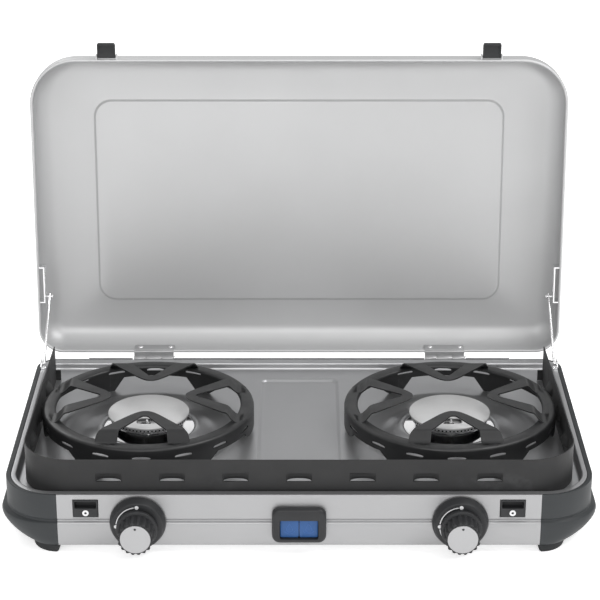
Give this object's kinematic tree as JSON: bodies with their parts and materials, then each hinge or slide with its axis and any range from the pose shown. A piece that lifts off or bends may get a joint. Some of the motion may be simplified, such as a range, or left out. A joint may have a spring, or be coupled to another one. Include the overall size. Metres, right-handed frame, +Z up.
{
  "type": "camp stove",
  "caption": "Lidded gas camp stove with round burners, lift-out pot supports and windshield, turning knobs, push igniter and a hinged pressed lid held by wire struts.",
  "frame": {"origin": "middle of the whole stove's box, with the lid open, on the surface it stands on", "axes": "+Z up, +Y away from the user towards the lid, +X to the user's right"},
  "size_m": [0.5492, 0.4057, 0.388],
  "materials": {
    "lid_silver": "satin pressed sheet, finely pebbled",
    "panel_silver": "satin sheet",
    "tray_grey": "satin pressed sheet",
    "casing_grey": "fine-grained moulded plastic",
    "enamel_dark": "satin enamel",
    "windshield_grey": "matt paint",
    "control_plastic": "fine-grained moulded plastic",
    "foot_rubber": "matt",
    "bright_steel": "bright plated",
    "burner_steel": "bright brushed",
    "cast_aluminium": "satin",
    "brass": "machined",
    "ceramic": "glazed white",
    "button_blue": "semi-gloss",
    "lead_sleeve": "silicone sleeve"
  },
  "bodies": {
    "casing": {"front_panel": "panel_silver", "rear_panel": "panel_silver", "base_pan": "tray_grey", "end_casing_left": "casing_grey", "end_casing_right": "casing_grey", "foot_front_left": "foot_rubber", "foot_front_right": "foot_rubber", "foot_rear_left": "foot_rubber", "foot_rear_right": "foot_rubber", "hob_tray": "tray_grey", "tray_rim": "tray_grey", "burner_dish_left": "tray_grey", "burner_dish_right": "tray_grey", "burner_cup_left": "burner_steel", "burner_cup_right": "burner_steel", "flame_ring_left": "cast_aluminium", "flame_ring_right": "cast_aluminium", "burner_cap_left": "burner_steel", "burner_cap_right": "burner_steel", "electrode_left": "ceramic", "electrode_right": "ceramic", "mixing_tube_left": "cast_aluminium", "mixing_tube_right": "cast_aluminium", "gas_tap_left": "brass", "gas_tap_right": "brass", "dial_plate_left": "control_plastic", "dial_plate_right": "control_plastic", "ignition_lead_left": "lead_sleeve", "ignition_lead_right": "lead_sleeve", "latch_catch_left": "control_plastic", "latch_catch_right": "control_plastic", "strut_base_bracket_left": "bright_steel", "strut_base_bracket_right": "bright_steel", "hinge_base_leaf_left": "bright_steel", "hinge_base_leaf_right": "bright_steel", "hinge_pin_left": "bright_steel", "hinge_pin_right": "bright_steel", "gas_manifold": "cast_aluminium", "igniter_bezel": "control_plastic", "igniter_module": "control_plastic"},
    "lid": {"lid_shell": "lid_silver", "hinge_lid_leaf_left": "bright_steel", "hinge_lid_leaf_right": "bright_steel", "strut_lid_bracket_left": "bright_steel", "strut_lid_bracket_right": "bright_steel"},
    "windshield": {"windshield": "windshield_grey"},
    "latch_left": {"latch_left": "control_plastic"},
    "strut_left": {"strut_left": "bright_steel"},
    "tap_left": {"tap_spindle_left": "brass"},
    "knob_left": {"knob_left": "control_plastic", "knob_cap_left": "cast_aluminium"},
    "igniter_button_left": {"igniter_button_left": "button_blue"},
    "pot_support_left": {"pot_support_left": "enamel_dark"},
    "latch_right": {"latch_right": "control_plastic"},
    "strut_right": {"strut_right": "bright_steel"},
    "tap_right": {"tap_spindle_right": "brass"},
    "knob_right": {"knob_right": "control_plastic", "knob_cap_right": "cast_aluminium"},
    "igniter_button_right": {"igniter_button_right": "button_blue"},
    "pot_support_right": {"pot_support_right": "enamel_dark"}
  },
  "joints": [
    {"name": "lid_hinge", "type": "hinge", "parent": "casing", "child": "lid", "pos_m": [0, 0.1421, 0.058], "axis": [-1, 0, 0], "range_deg": [-94.2, 0]},
    {"name": "windshield_lift", "type": "slide", "parent": "casing", "child": "windshield", "axis": [0, 0, 1], "range_m": [0, 0.06]},
    {"name": "strut_left_swing", "type": "hinge", "parent": "casing", "child": "strut_left", "pos_m": [-0.262, 0.1189, 0.063], "axis": [-1, 0, 0], "range_deg": [-120, 0]},
    {"name": "latch_left_pivot", "type": "hinge", "parent": "lid", "child": "latch_left", "pos_m": [-0.1916, 0.16872, 0.3741], "axis": [1, 0, 0], "range_deg": [0, 90]},
    {"name": "tap_left_turn", "type": "hinge", "parent": "casing", "child": "tap_left", "pos_m": [-0.1456, -0.1681, 0.033], "axis": [0, -1, 0], "range_deg": [0, 150]},
    {"name": "knob_left_push", "type": "slide", "parent": "tap_left", "child": "knob_left", "axis": [0, 1, 0], "range_m": [0, 0.003], "stiffness_N_per_m": 500},
    {"name": "igniter_button_left_press", "type": "slide", "parent": "casing", "child": "igniter_button_left", "axis": [0, 1, 0], "range_m": [0, 0.004], "stiffness_N_per_m": 400},
    {"name": "pot_support_left_lift", "type": "slide", "parent": "casing", "child": "pot_support_left", "axis": [0, 0, 1], "range_m": [0, 0.06]},
    {"name": "strut_right_swing", "type": "hinge", "parent": "casing", "child": "strut_right", "pos_m": [0.262, 0.1189, 0.063], "axis": [-1, 0, 0], "range_deg": [-120, 0]},
    {"name": "latch_right_pivot", "type": "hinge", "parent": "lid", "child": "latch_right", "pos_m": [0.1916, 0.16872, 0.3741], "axis": [1, 0, 0], "range_deg": [0, 90]},
    {"name": "tap_right_turn", "type": "hinge", "parent": "casing", "child": "tap_right", "pos_m": [0.1456, -0.1681, 0.033], "axis": [0, -1, 0], "range_deg": [0, 150]},
    {"name": "knob_right_push", "type": "slide", "parent": "tap_right", "child": "knob_right", "axis": [0, 1, 0], "range_m": [0, 0.003], "stiffness_N_per_m": 500},
    {"name": "igniter_button_right_press", "type": "slide", "parent": "casing", "child": "igniter_button_right", "axis": [0, 1, 0], "range_m": [0, 0.004], "stiffness_N_per_m": 400},
    {"name": "pot_support_right_lift", "type": "slide", "parent": "casing", "child": "pot_support_right", "axis": [0, 0, 1], "range_m": [0, 0.06]}
  ],
  "couplings": [
    {"joint": "strut_left_swing", "follows": "lid_hinge", "ratio": 1.2612},
    {"joint": "strut_right_swing", "follows": "lid_hinge", "ratio": 1.2612}
  ]
}
